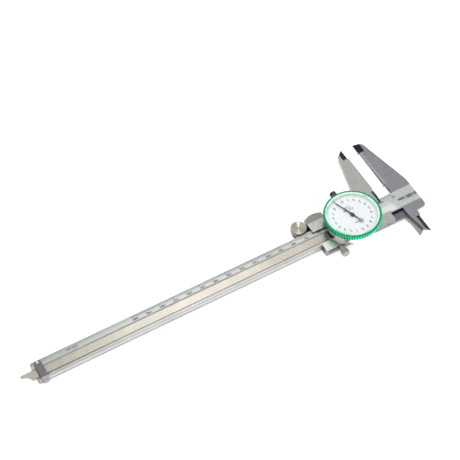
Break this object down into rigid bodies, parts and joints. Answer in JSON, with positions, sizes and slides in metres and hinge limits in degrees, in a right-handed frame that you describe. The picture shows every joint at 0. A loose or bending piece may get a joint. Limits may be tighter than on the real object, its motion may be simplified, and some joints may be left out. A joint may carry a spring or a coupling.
{
  "type": "dial caliper",
  "caption": "Dial caliper with a long ruled beam, outside and inside jaws, sliding depth rod, round dial with knurled bezel, thumb wheel and lock screw.",
  "frame": {"origin": "on the centre line of the beam at its back face, in the plane of the fixed outside measuring face, which is the scale zero", "axes": "+X along the beam from the fixed measuring face towards the depth rod; +Y towards the inside jaws; +Z out through the dial"},
  "size_m": [0.2988, 0.0899, 0.0164],
  "materials": {
    "beam_steel": "satin chrome-plated and ground stainless steel",
    "rack_steel": "ground steel",
    "slider_steel": "ground stainless steel",
    "rod_steel": "brushed stainless steel, warm tone",
    "dark_steel": "blackened steel",
    "screw_steel": "bright steel",
    "brass": "machined brass",
    "gib_brass": "brass strip",
    "case_chrome": "polished nickel-chrome plate",
    "bezel_green": "bright green, knurled",
    "dial_white": "white printed dial",
    "pointer_black": "black hand",
    "crystal_clear": "clear",
    "knob_nickel": "nickel plated, knurled",
    "knob_brown": "dark brown knurled"
  },
  "bodies": {
    "beam": {"beam": "beam_steel", "rack": "rack_steel", "rack_rivets": "screw_steel", "stop_strap": "dark_steel", "stop_front_screw": "screw_steel", "stop_side_screw": "dark_steel"},
    "slider": {"slider_frame": "slider_steel", "gib": "gib_brass", "gib_set_screws": "dark_steel", "slider_back_plate": "slider_steel", "back_plate_screws": "dark_steel", "depth_rod": "rod_steel", "rod_lug": "screw_steel", "rod_screws": "screw_steel", "lock_shoe": "brass", "wheel_bracket": "dark_steel", "bracket_screws": "dark_steel", "wheel_axle": "screw_steel", "dial_case": "case_chrome", "case_screws": "screw_steel", "bridge_pillars": "brass", "movement_bridge": "brass", "bridge_screws": "screw_steel", "bezel_snap_ring": "screw_steel", "bezel_clamp_shoe": "dark_steel"},
    "rack_gear_train": {"pinion_arbor": "screw_steel", "main_gear": "brass", "takeup_gear": "brass", "takeup_spring": "screw_steel"},
    "pointer_train": {"centre_arbor": "screw_steel", "pointer": "pointer_black", "pointer_cap": "pointer_black"},
    "thumb_wheel": {"thumb_wheel": "knob_nickel", "wheel_cap": "knob_nickel"},
    "bezel": {"bezel": "bezel_green", "dial_plate": "dial_white", "spacer_ring": "dial_white", "crystal": "crystal_clear"},
    "bezel_clamp_screw": {"bezel_clamp_screw": "knob_brown"},
    "lock_screw": {"lock_screw": "knob_nickel"}
  },
  "joints": [
    {"name": "slider_slide", "type": "slide", "parent": "beam", "child": "slider", "axis": [1, 0, 0], "range_m": [-0.00889, 0.19111]},
    {"name": "rack_pinion_turn", "type": "hinge", "parent": "slider", "child": "rack_gear_train", "pos_m": [0.03013, 0.00336, 0.007], "axis": [0, 0, 1], "range_deg": [-325, 6885]},
    {"name": "pointer_turn", "type": "hinge", "parent": "slider", "child": "pointer_train", "pos_m": [0.037, 0.0012, 0.009], "axis": [0, 0, 1], "range_deg": [-34404.8, 1605.2]},
    {"name": "thumb_wheel_turn", "type": "hinge", "parent": "slider", "child": "thumb_wheel", "pos_m": [0.0706, -0.01293, 0.0035], "axis": [0, 0, 1], "range_deg": [-96, 1960.3]},
    {"name": "bezel_turn", "type": "hinge", "parent": "slider", "child": "bezel", "pos_m": [0.037, 0.0012, 0.013], "axis": [0, 0, 1], "continuous": true},
    {"name": "bezel_clamp_turn", "type": "hinge", "parent": "slider", "child": "bezel_clamp_screw", "pos_m": [0.0372, -0.02, 0.009], "axis": [0, -1, 0], "range_deg": [-720, 45]},
    {"name": "lock_screw_turn", "type": "hinge", "parent": "slider", "child": "lock_screw", "pos_m": [0.053, 0.016, 0.0025], "axis": [0, 1, 0], "range_deg": [-720, 90]}
  ],
  "couplings": [
    {"joint": "rack_pinion_turn", "follows": "slider_slide", "rad_per_m": 628.32},
    {"joint": "pointer_turn", "follows": "slider_slide", "rad_per_m": -3141.6},
    {"joint": "thumb_wheel_turn", "follows": "slider_slide", "rad_per_m": 178.57}
  ]
}
